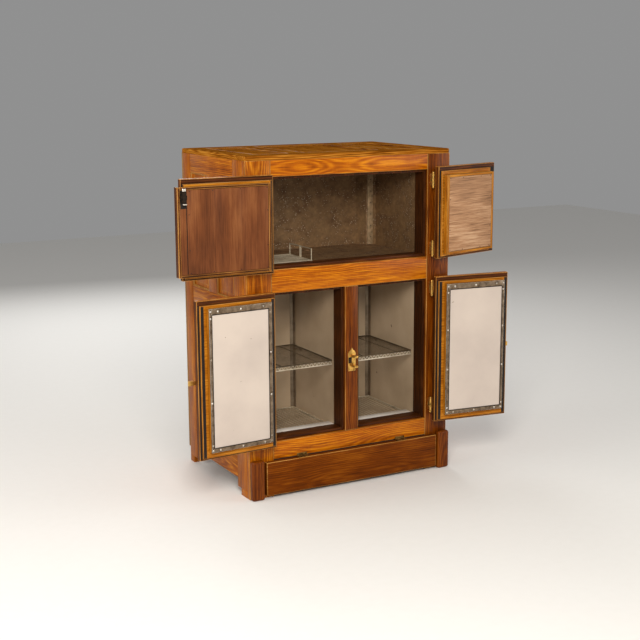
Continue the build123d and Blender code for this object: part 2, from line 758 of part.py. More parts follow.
with BuildPart() as keepers:
    z = latch_z_lower
    slab(-21, 21, front_y - 2.5, front_y, z - 46, z + 46)
    cheek_y = pin_y - pin_off - 7
    slab(-9, 9, cheek_y, front_y - 2.5, z + 12, z + 24)
    slab(-9, 9, cheek_y, front_y - 2.5, z - 24, z - 12)
    slab(catch_x - 12, catch_x + 12, liner_y - 30, liner_y - 8, upper_z1 - jamb_in - 3, upper_z1 - jamb_in)
save(keepers, "keepers")

with BuildPart(planes["ul"]) as strike_ul:
    u = leaf_u1["ul"]
    leaf(-1, u - 32, u - 3, v_face, v_face + 2.5, latch_z_upper - 40, latch_z_upper + 40)
    leaf(-1, u - 18, u - 6, v_face + 2.5, v_face + 10, latch_z_upper + 14, latch_z_upper + 26)
    leaf(-1, u - 18, u - 6, v_face + 2.5, v_face + 10, latch_z_upper - 26, latch_z_upper - 14)
save(strike_ul, "strike_ul")

# elbow catch inside the top free corner of the left ice door
elbow_u = plug_u["ul"][1] - rim - ledge / 2
elbow_z = plug_z["ul"][1] - rim - 24
elbow_v = v_plug - 9

with BuildPart(planes["ul"]) as elbow_base:
    leaf(-1, elbow_u - 11, elbow_u + 11, v_plug - 2, v_plug, elbow_z - 20, elbow_z + 20)
    for du in (-9.5, 9.5):
        leaf(-1, elbow_u + du - 1.2, elbow_u + du + 1.2, elbow_v - 3, v_plug, elbow_z - 6, elbow_z + 6)
    rod_x(-1 * elbow_v, elbow_z, elbow_u - 10, elbow_u + 10, 1.6)
save(elbow_base, "elbow_base")

with BuildPart(planes["ul"]) as elbow_lever:
    rod_x(-1 * elbow_v, elbow_z, elbow_u - 7.5, elbow_u + 7.5, 4)
    leaf(-1, elbow_u - 6, elbow_u + 6, elbow_v - 4, elbow_v - 1.6, elbow_z - 24, elbow_z + 28)
    leaf(-1, elbow_u - 6, elbow_u + 6, elbow_v - 12, elbow_v - 4, elbow_z - 24, elbow_z - 21)
    rod_x(-1 * elbow_v, elbow_z, elbow_u - 8, elbow_u + 8, 1.6 + lever_play, Mode.SUBTRACT)
save(elbow_lever, "elbow_lever")
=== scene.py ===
"""Antique oak icebox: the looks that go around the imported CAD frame."""
import json
import math
import random

import bmesh
import bpy
from mathutils import Matrix, Vector


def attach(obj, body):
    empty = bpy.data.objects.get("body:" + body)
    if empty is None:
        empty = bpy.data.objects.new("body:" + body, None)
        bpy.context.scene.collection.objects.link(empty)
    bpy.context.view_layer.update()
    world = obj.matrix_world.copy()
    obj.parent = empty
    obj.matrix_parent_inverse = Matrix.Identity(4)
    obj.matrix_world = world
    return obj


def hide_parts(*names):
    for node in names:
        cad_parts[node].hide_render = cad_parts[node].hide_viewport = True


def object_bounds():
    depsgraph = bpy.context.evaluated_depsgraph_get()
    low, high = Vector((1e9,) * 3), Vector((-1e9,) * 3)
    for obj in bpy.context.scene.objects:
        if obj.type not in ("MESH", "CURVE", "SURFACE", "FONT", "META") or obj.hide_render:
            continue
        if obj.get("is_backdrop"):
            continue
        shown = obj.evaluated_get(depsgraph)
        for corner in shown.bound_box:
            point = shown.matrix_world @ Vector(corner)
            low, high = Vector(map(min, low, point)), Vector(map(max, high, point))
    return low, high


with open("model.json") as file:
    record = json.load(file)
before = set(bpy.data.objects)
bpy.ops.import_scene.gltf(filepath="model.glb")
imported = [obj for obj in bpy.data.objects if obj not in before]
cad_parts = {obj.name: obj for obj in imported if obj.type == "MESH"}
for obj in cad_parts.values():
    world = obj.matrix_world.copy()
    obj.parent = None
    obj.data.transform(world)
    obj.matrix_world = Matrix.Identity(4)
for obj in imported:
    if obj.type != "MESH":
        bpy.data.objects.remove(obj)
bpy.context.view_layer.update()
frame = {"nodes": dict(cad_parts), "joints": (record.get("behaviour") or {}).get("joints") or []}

MM = 0.001
chance = random.Random(11)

# ---- sizes the looks need, in millimetres ---------------------------------
# the case: half its width and depth, its openings and its boards
HALF_W, HALF_D = 417.5, 278.5
OPEN_X, MULL_X = 321.5, 26.7
BOARD = 22.0
UNDER_TOP = 1204.0
UPPER = (824.0, 1146.0)
LOWER = (203.0, 741.0)
SILL_Z = 138.0
SIDE_RAILS = ((58.0, 138.0), (640.0, 709.0), (1135.0, UNDER_TOP))
SIDE_FRONT, SIDE_REAR, MUNTIN = -176.0, 200.0, (-24.0, 49.0)
BACK_Y = 266.5

# the lid: its top, how deep its panels lie, and where they end
LID_Z = 1220.0
LID_SUNK = 5.0
TOP_RAIL = 74.0
TOP_MUNTINS = ((-216.0, -150.0), (150.0, 216.0))
LID_REACH = HALF_D + 2 - TOP_RAIL
LID_PANEL_X = HALF_W - 72

# a door in its own frame: u runs from the hinge pin to the free edge, v from inside to outside
RAIL = 60.0
LIP, LIP_TOP = 4.0, 12.0
LEAF, STEP, PLUG = 20.0, 10.0, 18.0
PIN_OFF = 4.5
V_FACE = -PIN_OFF
V_BACK = V_FACE - LEAF
LEAF_BACK = V_BACK + 0.6
V_STEP = V_BACK - STEP
V_PLUG = V_STEP - PLUG
U_OPEN = PIN_OFF + LIP
RIM_W, RIM_T = 8.0, 4.0
LEDGE = 24.0
SHEET = 1.5

# fittings, feet and the kick flap
HINGE_Z = (1109.0, 856.0, 708.0, 260.0)
FLAP_HINGE_X, FLAP_PIN_Z = 208.0, 138.7
FLAP_HALF = 359.5
FOOT_W, FOOT_T, FOOT_H = 50.0, 25.0, 147.0
KEEPER_Z = 468.0

# wire shelves and racks: side, body suffix, left and right end
COMPARTMENTS = (("left", "l", -305.0, -38.7), ("right", "r", 38.7, 305.0))
GRID_BACK = 112.0
SHELF_FRONT, SHELF_Z = -205.0, 455.0
RACK_FRONT, RACK_Z = -150.0, 203.0

# one board of the back, in metres
BACK_BOARD = 0.1193
# half the depth of timber that the rings are drawn through, in metres
RING_DEPTH = 0.015
# the wave texture's scale for rings one metre apart
WAVE_PERIOD = 0.314

joints = {j["name"]: j for j in frame["joints"]}


# ---- materials -------------------------------------------------------------
def colour(code):
    """A linear colour from an sRGB hex code."""
    parts = [int(code[i:i + 2], 16) / 255 for i in (0, 2, 4)]
    return tuple(c / 12.92 if c <= 0.04045 else ((c + 0.055) / 1.055) ** 2.4 for c in parts) + (1.0,)


def add(tree, kind, values=None, **settings):
    """One node: values are inputs by name or number, a socket in them is linked."""
    made = tree.nodes.new(kind)
    for key, value in settings.items():
        setattr(made, key, value)
    for key, value in (values or {}).items():
        if isinstance(value, bpy.types.NodeSocket):
            tree.links.new(value, made.inputs[key])
        else:
            made.inputs[key].default_value = value
    return made


def ramp(tree, factor, *stops):
    made = add(tree, "ShaderNodeValToRGB", {0: factor})
    bands = made.color_ramp.elements
    while len(bands) < len(stops):
        bands.new(0.5)
    for band, (place, code) in zip(bands, stops):
        band.position = place
        band.color = colour(code) if isinstance(code, str) else (code, code, code, 1.0)
    return made.outputs[0]


def blank(name):
    made = bpy.data.materials.new(name)
    made.use_nodes = True
    tree = made.node_tree
    tree.nodes.clear()
    shader = add(tree, "ShaderNodeBsdfPrincipled")
    add(tree, "ShaderNodeOutputMaterial", {0: shader.outputs[0]})
    return made, tree, shader


def blend_colour(tree, factor, a, b, mode="MIX"):
    made = add(tree, "ShaderNodeMix", data_type="RGBA", blend_type=mode)
    for key, value in ((0, factor), (6, a), (7, b)):
        if isinstance(value, bpy.types.NodeSocket):
            tree.links.new(value, made.inputs[key])
        elif isinstance(value, str):
            made.inputs[key].default_value = colour(value)
        else:
            made.inputs[key].default_value = value
    return made.outputs[2]


def sums(tree, operation, a, b=0.0, c=0.0):
    return add(tree, "ShaderNodeMath", {0: a, 1: b, 2: c}, operation=operation).outputs[0]


def xyz(tree, x, y, z=0.0):
    return add(tree, "ShaderNodeCombineXYZ", {0: x, 1: y, 2: z}).outputs[0]


def noise(tree, at, scale=1.0, **values):
    return add(tree, "ShaderNodeTexNoise", {"Vector": at, "Scale": scale, **values}).outputs[0]


def wood_axes(tree, run, plank):
    """Coordinates along the fibres, across them and into the board, and across uncut."""
    if run == "grain":
        grain = add(tree, "ShaderNodeAttribute", attribute_name="grain").outputs[1]
        along, across, deep = add(tree, "ShaderNodeSeparateXYZ", {0: grain}).outputs
        return along, across, deep, across
    place = add(tree, "ShaderNodeTexCoord").outputs["Object"]
    x, y, z = add(tree, "ShaderNodeSeparateXYZ", {0: place}).outputs
    if run == "top":
        # the lid: rails along X at front and back, the rest runs front to back
        from_middle = sums(tree, "ABSOLUTE", y)
        edge = sums(tree, "GREATER_THAN", from_middle, LID_REACH * MM)
        inner = sums(tree, "SUBTRACT", 1.0, edge)
        rail = sums(tree, "SUBTRACT", from_middle, (LID_REACH + TOP_RAIL / 2) * MM)
        along = sums(tree, "ADD", sums(tree, "MULTIPLY", x, edge), sums(tree, "MULTIPLY", y, inner))
        across = sums(tree, "ADD", sums(tree, "MULTIPLY", rail, edge), sums(tree, "MULTIPLY", x, inner))
        deep = z
    else:
        along, across, deep = {"x": (x, z, y), "y": (y, x, z), "z": (z, x, y)}[run]
    narrow = sums(tree, "WRAP", across, plank / 2, -plank / 2)
    return along, narrow, sums(tree, "WRAP", deep, RING_DEPTH, -RING_DEPTH), across


def wood(name, dark, mid, light, run="grain", ring=9.0, figure=0.2, fleck=0.0, gloss=0.36, coat=0.08,
         grit=0.8, shine=0.12, blotch=0.5, plank=0.1):
    """Oiled or varnished timber. run says which way the fibres go: the grain attribute of a
    board, an axis of the piece, or 'top' for the framed lid. ring is the ring spacing in mm and
    figure its strength, fleck that of the rays, grit that of the pores, blotch that of the stains;
    plank is the width in metres of the boards that a CAD shape is taken to be glued from."""
    made, tree, shader = blank(name)
    along, across, deep, across_all = wood_axes(tree, run, plank)

    def stretched(lengthwise, crosswise):
        return xyz(tree, *(sums(tree, "MULTIPLY", axis, by) for axis, by in (
            (along, lengthwise), (across, crosswise), (deep, crosswise))))

    # the tree's heart wanders along the board, which draws the arched figure
    wander = noise(tree, xyz(tree, along, across_all), 2.2, Detail=1.0)
    heart = sums(tree, "MULTIPLY_ADD", wander, 0.07, 0.005)
    rings_at = xyz(tree, across, sums(tree, "ADD", deep, heart), sums(tree, "MULTIPLY", along, 0.12))
    rings = add(tree, "ShaderNodeTexWave", {
        "Vector": rings_at, "Scale": WAVE_PERIOD / (ring * MM), "Distortion": 1.5, "Detail": 2.0,
        "Detail Scale": 0.7, "Detail Roughness": 0.6}, wave_type="RINGS", rings_direction="Z").outputs["Fac"]
    # open pores: dark lines along the fibres, drawn 4 mm wide so that they show
    fibre = noise(tree, stretched(9.0, 250.0), Detail=4.0, Roughness=0.7)
    # cloudy unevenness of the stain
    patch = noise(tree, stretched(5.0, 16.0), Detail=3.0, Roughness=0.55)
    tone = sums(tree, "MULTIPLY_ADD", rings, figure, 0.5 - figure * 0.5)
    tone = sums(tree, "ADD", tone, sums(tree, "MULTIPLY_ADD", fibre, 1.2 * grit, -0.6 * grit))
    tone = sums(tree, "ADD", tone, sums(tree, "MULTIPLY_ADD", patch, blotch, -0.5 * blotch))
    shade = ramp(tree, tone, (0.2, dark), (0.5, mid), (0.8, light))
    pores = ramp(tree, fibre, (0.36, 0.4), (0.43, 1.0))
    shade = blend_colour(tree, 0.5 * grit, shade, pores, "MULTIPLY")
    if fleck:
        # ray fleck of quarter-sawn oak: short silky bars across the fibres
        bars = noise(tree, stretched(95.0, 22.0), Detail=2.0, Distortion=0.6)
        glint = ramp(tree, bars, (0.52, 0.0), (0.66, 1.0))
        shade = blend_colour(tree, sums(tree, "MULTIPLY", glint, fleck), shade, light)
    tree.links.new(shade, shader.inputs["Base Color"])
    rough = sums(tree, "MULTIPLY_ADD", fibre, 0.25, gloss - 0.1)
    tree.links.new(rough, shader.inputs["Roughness"])
    shader.inputs["IOR"].default_value = 1.5
    shader.inputs["Specular IOR Level"].default_value = shine
    shader.inputs["Coat Weight"].default_value = coat
    shader.inputs["Coat Roughness"].default_value = 0.18
    relief = sums(tree, "ADD", fibre, rings)
    bump = add(tree, "ShaderNodeBump", {"Strength": 0.25, "Distance": 0.0006, "Height": relief})
    tree.links.new(bump.outputs[0], shader.inputs["Normal"])
    return made


def metal(name, base, stain, metallic=0.9, rough=0.35, scale=40.0, mix=(0.45, 0.62), speck=None, cells=0.0):
    """A worn metal: its bright colour under patches of tarnish, with optional pale specks."""
    made, tree, shader = blank(name)
    place = add(tree, "ShaderNodeTexCoord").outputs["Object"]
    cloud = noise(tree, place, scale, Detail=5.0, Roughness=0.62)
    fine = noise(tree, place, scale * 9, Detail=3.0)
    dirt = ramp(tree, cloud, (mix[0], 0.0), (mix[1], 1.0))
    shade = blend_colour(tree, dirt, base, stain)
    if cells:
        # zinc spangle: crystal patches of slightly different tone
        spangle = add(tree, "ShaderNodeTexVoronoi", {"Vector": place, "Scale": cells}).outputs["Color"]
        level = add(tree, "ShaderNodeSeparateColor", {0: spangle}).outputs[0]
        shade = blend_colour(tree, 0.55, shade, ramp(tree, level, (0.0, 0.55), (1.0, 1.0)), "MULTIPLY")
    if speck:
        dots = add(tree, "ShaderNodeTexVoronoi", {"Vector": place, "Scale": 140.0}).outputs["Distance"]
        keep = ramp(tree, cloud, (0.46, 0.0), (0.58, 1.0))
        spot = sums(tree, "MULTIPLY", ramp(tree, dots, (0.13, 1.0), (0.28, 0.0)), keep)
        shade = blend_colour(tree, spot, shade, speck)
    tree.links.new(shade, shader.inputs["Base Color"])
    shader.inputs["Metallic"].default_value = metallic
    tree.links.new(sums(tree, "MULTIPLY_ADD", dirt, 0.3, rough), shader.inputs["Roughness"])
    relief = sums(tree, "ADD", fine, cloud)
    lift = add(tree, "ShaderNodeBump", {"Strength": 0.15, "Distance": 0.0008, "Height": relief})
    tree.links.new(lift.outputs[0], shader.inputs["Normal"])
    return made


# flat-sawn oak under old amber varnish: glowing orange rails with brown pores
oak_amber = wood("oak_varnished_amber", "6E2E00", "A85600", "DA8A0C", ring=4.6, fleck=0.06)
# the same oak, darker: deep red-brown on the right stile as a painted shadow of its open door, and on the
# mullion and feet
oak_russet_shade = wood("oak_varnished_russet_shade", "341200", "642C00", "944E04", ring=5.0, figure=0.14, fleck=0.04)
# sides and door faces: a shade between the two, with silky rays
oak_side = wood("oak_varnished_side", "5A2400", "9A4E00", "D28618", ring=4.6, figure=0.18, fleck=0.08)
# edges rubbed through the varnish, and painted highlights where arrises and chamfers catch the light: thin
# pale tan lines
oak_worn = wood("oak_worn_edge", "6A3C12", "A4702F", "D4A35F", figure=0.1, gloss=0.5, coat=0.0)
# the lid, dulled by wear: matt golden brown, bold figure
LID_LOOK = dict(ring=5.0, figure=0.26, gloss=0.7, coat=0.0, shine=0.0)
oak_lid = wood("oak_varnished_lid", "3A1A02", "8E5010", "C88A34", run="top", **LID_LOOK)
oak_lid_panel = wood("oak_varnished_lid_panel", "3A1A02", "8E5010", "C88A34", run="y", **LID_LOOK)
# scuffed kick board: quiet mid brown
oak_kick = wood("oak_varnished_kick", "341400", "682F00", "98540A", ring=6.0, figure=0.1, gloss=0.5,
                coat=0.02, grit=0.5, shine=0.06)
# thin brown varnish inside the door openings and on the plugs: dark and nearly matt; the same dark oak is
# painted shade on the lid's shadow lines and on the door leaves' shaded edges and inner faces
oak_inside_and_shade = wood("oak_inner_brown_and_shade", "1C0A02", "482207", "784010", gloss=0.46, coat=0.03)
oak_jamb = wood("oak_jamb_brown", "120702", "331705", "5E3210", run="z", figure=0.1, gloss=0.5, coat=0.0)
# plug strips that the light catches: golden bands
oak_rim = wood("oak_rim_golden", "6A3404", "A8640E", "DC9A34", figure=0.08, gloss=0.42, coat=0.04)
# inner board of the left ice door: stained red-brown, calm
board_brown = wood("oak_board_red_brown", "36190A", "6A3A1C", "8E5830", ring=14.0, figure=0.02, gloss=0.5,
                   coat=0.04, grit=0.4, blotch=0.7)
# inner board of the right ice door: bleached beige with long dry grain
board_grey = wood("oak_board_grey_brown", "6A4A32", "A67C5A", "D0AA86", ring=16.0, figure=0.03, gloss=0.55,
                  coat=0.02, grit=0.75)
# softwood, unvarnished and dusty: dull tan
pine_back = wood("pine_back_boards", "6B4726", "8E663A", "B48C5A", run="z", ring=6.0, figure=0.12, gloss=0.6,
                 coat=0.0, grit=0.6, plank=BACK_BOARD)
pine_flat = wood("pine_plain_boards", "6B4726", "9A6E3F", "BE9460", run="x", ring=7.0, gloss=0.6, coat=0.0)
# hot-dipped sheet gone grey-brown, with pale flecks where the zinc has flowered
zinc = metal("galvanised_sheet_dull", "94744E", "6C4E32", metallic=0.4, rough=0.5, scale=22.0, mix=(0.3, 0.7),
             speck="D2BFA2", cells=110.0)
# the duct's seam strip, a pale tan upright: a painted highlight where its rolled edge catches the light
zinc_highlight = metal("galvanised_strip_highlight", "CDB08A", "A08866", metallic=0.55, rough=0.42, scale=30.0,
                    cells=90.0)
# drip pan: cool grey spangle
zinc_pan = metal("galvanised_pan", "A09A8E", "6E675C", metallic=0.7, rough=0.42, scale=14.0, cells=60.0)
# tarnished mild steel edging: brown-grey frame round the enamel
strip_steel = metal("steel_edging_tarnished", "8E7A64", "54422F", metallic=0.6, rough=0.36, scale=60.0,
                    mix=(0.3, 0.7))
# blackened steel of the elbow catch, nails and shadow lines
dark_steel = metal("steel_dark", "30251B", "1A120C", metallic=0.7, rough=0.38, scale=60.0)
# corner coves: soft grey uprights with a streak of shine
cove_steel = metal("steel_cove", "9C8B74", "6A5A48", metallic=0.7, rough=0.3, scale=16.0, mix=(0.3, 0.7))
# tinned wire in three tones of painted light: the shelf grid darkened as painted shade, paler racks, the
# front trusses brightened as a painted highlight
wire_tin_shaded = metal("wire_tinned", "63543F", "463A2A", metallic=0.6, rough=0.36, scale=8.0)
wire_rack = metal("wire_tinned_rack", "C2B59C", "94866E", metallic=0.5, rough=0.36, scale=8.0)
wire_tin_lit = metal("wire_tinned_lit", "E4D8C2", "B4A588", metallic=0.6, rough=0.3, scale=8.0)
# screw heads, and painted highlights on the tips of the elbow catch: small white glints
screw_steel = metal("steel_screw", "F0E8DC", "A89884", metallic=0.7, rough=0.28, scale=20.0)
# old cast brass, bright yellow where hands rub it, brown on the small flap hinges
brass = metal("brass_worn", "E2B25C", "80571F", rough=0.28, scale=55.0, mix=(0.48, 0.72))
brass_dull = metal("brass_dulled", "8E6A34", "4A3214", rough=0.4, scale=60.0)


def enamel_white(name, base, shadow):
    """Fired porcelain enamel on sheet steel: glassy, faintly wavy, a few dark chips."""
    made, tree, shader = blank(name)
    place = add(tree, "ShaderNodeTexCoord").outputs["Object"]
    cloud = noise(tree, place, 6.0, Detail=4.0)
    chips = noise(tree, place, 34.0, Detail=2.0)
    shade = blend_colour(tree, ramp(tree, cloud, (0.35, 0.0), (0.75, 1.0)), base, shadow)
    shade = blend_colour(tree, ramp(tree, chips, (0.76, 0.0), (0.775, 1.0)), shade, "6B5B4A")
    tree.links.new(shade, shader.inputs["Base Color"])
    shader.inputs["Roughness"].default_value = 0.22
    shader.inputs["IOR"].default_value = 1.52
    shader.inputs["Coat Weight"].default_value = 0.4
    shader.inputs["Coat Roughness"].default_value = 0.08
    wave = add(tree, "ShaderNodeBump", {"Strength": 0.3, "Distance": 0.0015, "Height": cloud})
    tree.links.new(wave.outputs[0], shader.inputs["Normal"])
    return made


# door sheets: glossy off-white; lining: the same in a darker cream; floor aprons: a brighter white, painted
# highlight where light falls on them
enamel_door = enamel_white("enamel_white_door", "CABBAE", "BAABA0")
enamel_floor_lit = enamel_white("enamel_white_floor_lit", "FAF6F0", "E8E0D6")
enamel_liner = enamel_white("enamel_white_lining", "BCA68A", "A48E72")


def matt(name, code, patch_code):
    """A dull even stuff, faintly clouded with a second colour."""
    made, tree, shader = blank(name)
    place = add(tree, "ShaderNodeTexCoord").outputs["Object"]
    cloud = noise(tree, place, 30.0, Detail=4.0)
    shade = blend_colour(tree, sums(tree, "MULTIPLY", cloud, 0.3), code, patch_code)
    tree.links.new(shade, shader.inputs["Base Color"])
    shader.inputs["Roughness"].default_value = 0.9
    return made


# granulated cork: crumbly mid brown
cork = matt("cork_filling", "7A4E2C", "8A5A35")
# black felt as painted shade: it darkens the gaps between the layers of a door and the slit over the kick
# board
felt_shade = matt("felt_seal_painted_shade", "130B06", "1E120A")


# ---- pieces ------------------------------------------------------------------
FIBRES = {"x": (0, 2, 1), "y": (1, 2, 0), "z": (2, 0, 1)}


class Piece:
    """One visible piece under construction; sizes are given in millimetres."""

    def __init__(self, name):
        self.name = name
        self.mesh = bmesh.new()
        self.grain = self.mesh.verts.layers.float_vector.new("grain")

    def _place(self, before, fibres, place, surface):
        """Gives the new shape its grain, from a random place in the tree, its finish and its place."""
        new = [v for v in self.mesh.verts if v not in before]
        middle = sum((v.co for v in new), Vector()) / len(new)
        order = FIBRES[fibres]
        shift = Vector((chance.uniform(0, 9), chance.uniform(-0.06, 0.06), chance.uniform(0, 0.03)))
        for v in new:
            local = v.co - middle
            v[self.grain] = Vector((v.co[order[0]], local[order[1]], local[order[2]])) + shift
        if place is not None:
            bmesh.ops.transform(self.mesh, matrix=place, verts=new)
        for face in {f for v in new for f in v.link_faces}:
            face.material_index = surface
        return new

    def board(self, low, high, fibres="z", ease=1.0, place=None, surface=0, steps=(), worn=None):
        """A planed board between two corners. steps sinks or raises its front face: pairs of
        an inset and a depth, on the face named by steps[0]."""
        low, high = Vector(low) * MM, Vector(high) * MM
        before = set(self.mesh.verts)
        size = high - low
        matrix = Matrix.Translation((low + high) / 2) @ Matrix.Diagonal((*size, 1.0))
        made = bmesh.ops.create_cube(self.mesh, size=1.0, matrix=matrix)
        if steps:
            facing = Vector(steps[0])
            faces = {f for v in made["verts"] for f in v.link_faces}
            face = max(faces, key=lambda f: f.calc_center_median().dot(facing))
            face.normal_update()
            for inset, depth in steps[1:]:
                bmesh.ops.inset_region(self.mesh, faces=[face], thickness=inset * MM, depth=depth * MM,
                                       use_even_offset=True)
        elif ease:
            edges = list({e for v in made["verts"] for e in v.link_edges})
            bmesh.ops.bevel(self.mesh, geom=edges, offset=min(ease * MM, min(size) * 0.4),
                            segments=2 if ease < 4 else 5, profile=0.5, affect="EDGES", material=-1)
        new = self._place(before, fibres, None, surface)
        # bevel faces take the given surface: rubbed edges, and painted highlights where the arrises catch the
        # light
        if worn is not None:
            for face in {f for v in new for f in v.link_faces}:
                face.normal_update()
                if max(abs(c) for c in face.normal) < 0.97:
                    face.material_index = worn
        if place is not None:
            bmesh.ops.transform(self.mesh, matrix=place, verts=new)
        return new

    def rod(self, start, end, radius, sides=8, surface=0):
        start, end = Vector(start) * MM, Vector(end) * MM
        before = set(self.mesh.verts)
        run = end - start
        matrix = Matrix.Translation((start + end) / 2) @ run.to_track_quat("Z", "Y").to_matrix().to_4x4()
        bmesh.ops.create_cone(self.mesh, cap_ends=True, cap_tris=False, segments=sides, radius1=radius * MM,
                              radius2=radius * MM, depth=run.length, matrix=matrix)
        return self._place(before, "z", None, surface)

    def ball(self, centre, radii, place=None, surface=0, across=12, up=8):
        before = set(self.mesh.verts)
        matrix = Matrix.Translation(Vector(centre) * MM) @ Matrix.Diagonal((*(Vector(radii) * MM), 1.0))
        bmesh.ops.create_uvsphere(self.mesh, u_segments=across, v_segments=up, radius=1.0, matrix=matrix)
        return self._place(before, "z", place, surface)

    def outline(self, points, depth, place, ease):
        """A flat shape in local X and Z, given its thickness along -Y, edges eased."""
        before = set(self.mesh.verts)
        corners = [self.mesh.verts.new(Vector((x, 0, z)) * MM) for x, z in points]
        face = self.mesh.faces.new(corners)
        made = bmesh.ops.extrude_face_region(self.mesh, geom=[face])
        moved = [g for g in made["geom"] if isinstance(g, bmesh.types.BMVert)]
        bmesh.ops.translate(self.mesh, verts=moved, vec=Vector((0, -depth, 0)) * MM)
        edges = list({e for v in moved for e in v.link_edges if all(w in moved for w in e.verts)})
        bmesh.ops.bevel(self.mesh, geom=edges, offset=ease * MM, segments=2, profile=0.5,
                        affect="EDGES", material=-1)
        return self._place(before, "z", place, 0)

    def done(self, body, materials, nodes=(), slot=None):
        bmesh.ops.recalc_face_normals(self.mesh, faces=self.mesh.faces)
        for face in self.mesh.faces:
            face.smooth = True
        for edge in self.mesh.edges:
            if len(edge.link_faces) == 2 and edge.calc_face_angle(0.0) > math.radians(40.0):
                edge.smooth = False
        data = bpy.data.meshes.new(self.name)
        self.mesh.to_mesh(data)
        self.mesh.free()
        for material in materials:
            data.materials.append(material)
        made = bpy.data.objects.new(self.name, data)
        bpy.context.scene.collection.objects.link(made)
        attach(made, body)
        if nodes:
            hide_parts(*nodes)
        return made


def refinish(material, *nodes):
    """A CAD node keeps its shape and takes a finer material."""
    for node in nodes:
        shape = frame["nodes"][node]
        shape.data.materials.clear()
        shape.data.materials.append(material)


# ---- case --------------------------------------------------------------------
FRONT, FRAME_Y = -HALF_D, -HALF_D + BOARD

front = Piece("case_front")
for side in (-1, 1):
    inner, outer = sorted((side * OPEN_X, side * HALF_W))
    # painted light: the left stile takes the lighter side oak, the right stile the darker russet as a painted
    # shadow
    finish = 3 if side < 0 else 1
    front.board((inner, FRONT, 0), (outer, FRAME_Y, UNDER_TOP), "z", 1.8, surface=finish, worn=2)
for low, high in ((UPPER[1], UNDER_TOP), (LOWER[1], UPPER[0]), (SILL_Z, LOWER[0])):
    front.board((-OPEN_X, FRONT + 0.3, low), (OPEN_X, FRAME_Y, high), "x", 1.6, worn=2)
front.board((-MULL_X, FRONT + 0.2, LOWER[0]), (MULL_X, FRAME_Y, LOWER[1]), "z", 1.6, surface=1, worn=2)
front.done("cabinet", [oak_amber, oak_russet_shade, oak_worn, oak_side],
           ("stiles", "front_rails", "mullion"), "oak")

sides = Piece("case_sides")
for side in (-1, 1):
    def slab(y0, y1, z0, z1, fibres, set_in=0.0, **more):
        a, b = sorted((side * (HALF_W - set_in), side * (HALF_W - BOARD)))
        sides.board((a, y0, z0), (b, y1, z1), fibres, **more)
    slab(FRAME_Y, SIDE_FRONT, 25, UNDER_TOP, "z", ease=1.2)
    slab(FRAME_Y, SIDE_FRONT - 30, 0, 26, "z", ease=1.0)
    slab(SIDE_REAR, BACK_Y, 25, UNDER_TOP, "z", ease=1.2)
    slab(SIDE_REAR + 30, BACK_Y, 0, 26, "z", ease=1.0)
    for low, high in SIDE_RAILS:
        slab(SIDE_FRONT, SIDE_REAR, low, high, "y", 0.3, ease=1.0)
    for low, high in ((SIDE_RAILS[0][1], SIDE_RAILS[1][0]), (SIDE_RAILS[1][1], SIDE_RAILS[2][0])):
        slab(*MUNTIN, low, high, "z", 0.3, ease=1.0)
        for y0, y1 in ((SIDE_FRONT, MUNTIN[0]), (MUNTIN[1], SIDE_REAR)):
            slab(y0, y1, low, high, "z", 0.8, worn=1,
                 steps=((side, 0, 0), (1.0, -0.4), (4.0, -4.0), (0.4, -2.6), (12.0, -0.2), (2.0, 1.0)))
sides.done("cabinet", [oak_side, oak_worn], ("side_frames", "side_panels"), "oak")

refinish(oak_lid, "top_frame")
refinish(oak_lid_panel, "top_panels")
refinish(oak_jamb, "jambs")
refinish(pine_back, "back_boards", "partition")
refinish(pine_flat, "decks")
refinish(cork, "insulation")
refinish(zinc, "ice_liner", "drain_pipe")
refinish(zinc_pan, "drip_pan")
refinish(enamel_liner, "food_liner_left", "food_liner_right")
refinish(cove_steel, "compartment_trim")
refinish(wire_rack, "ice_rack")
refinish(brass_dull, "flap_hinges")
refinish(brass, "strike_ul")
for key in ("ul", "ur", "ll", "lr"):
    refinish(brass, "hinges_" + key)
for key in ("ur", "ll", "lr"):
    refinish(brass, "latch_case_" + key, "latch_lever_" + key)
refinish(dark_steel, "elbow_base", "elbow_lever")


# rubbed arrises of the lid frame and the shadow lines of its panels
lid = Piece("lid_edges")
RUBBED = (LID_Z - 0.6, LID_Z + 0.3)
SHADOW = (LID_Z - LID_SUNK - 0.5, LID_Z - LID_SUNK + 0.5)
for a, b in ((-LID_PANEL_X, TOP_MUNTINS[0][0]), (TOP_MUNTINS[0][1], TOP_MUNTINS[1][0]),
             (TOP_MUNTINS[1][1], LID_PANEL_X)):
    for x, turn in ((a, 1), (b, -1)):
        for wide, (bottom, top), finish in ((-2.6, RUBBED, 0), (4.0, SHADOW, 1)):
            c, d = sorted((x, x + turn * wide))
            lid.board((c, -LID_REACH, bottom), (d, LID_REACH, top), "y", 0, surface=finish)
    for y, turn in ((-LID_REACH, 1), (LID_REACH, -1)):
        for wide, (bottom, top), finish in ((-3.4, RUBBED, 0), (5.0, SHADOW, 1)):
            c, d = sorted((y, y + turn * wide))
            lid.board((a, c, bottom), (b, d, top), "x", 0, surface=finish)
lid.done("cabinet", [oak_worn, oak_inside_and_shade], slot="oak")


# ---- foot blocks and kick flap ---------------------------------------------------
feet = Piece("foot_blocks_rounded")
for side in (-1, 1):
    a, b = sorted((side * HALF_W, side * (HALF_W - FOOT_W)))
    feet.board((a, FRONT - FOOT_T, 0), (b, FRONT, FOOT_H), "z", 9.0)
feet.done("cabinet", [oak_russet_shade], ["foot_blocks"], "oak")

kick = Piece("kick_board")
kick.board((-FLAP_HALF, FRONT - BOARD, 12.5), (FLAP_HALF, FRONT - 0.3, 136), "x", 2.2, worn=1)
kick.done("flap", [oak_kick, oak_worn], ["kick_flap"], "oak")

# a black felt strip: painted shade in the slit over the kick board
gap_shade = Piece("kick_gap_shade")
gap_shade.board((-355, FRONT + 1, 122), (355, FRONT + 3, SILL_Z), "x", 0)
gap_shade.done("cabinet", [felt_shade], slot="oak_inner")

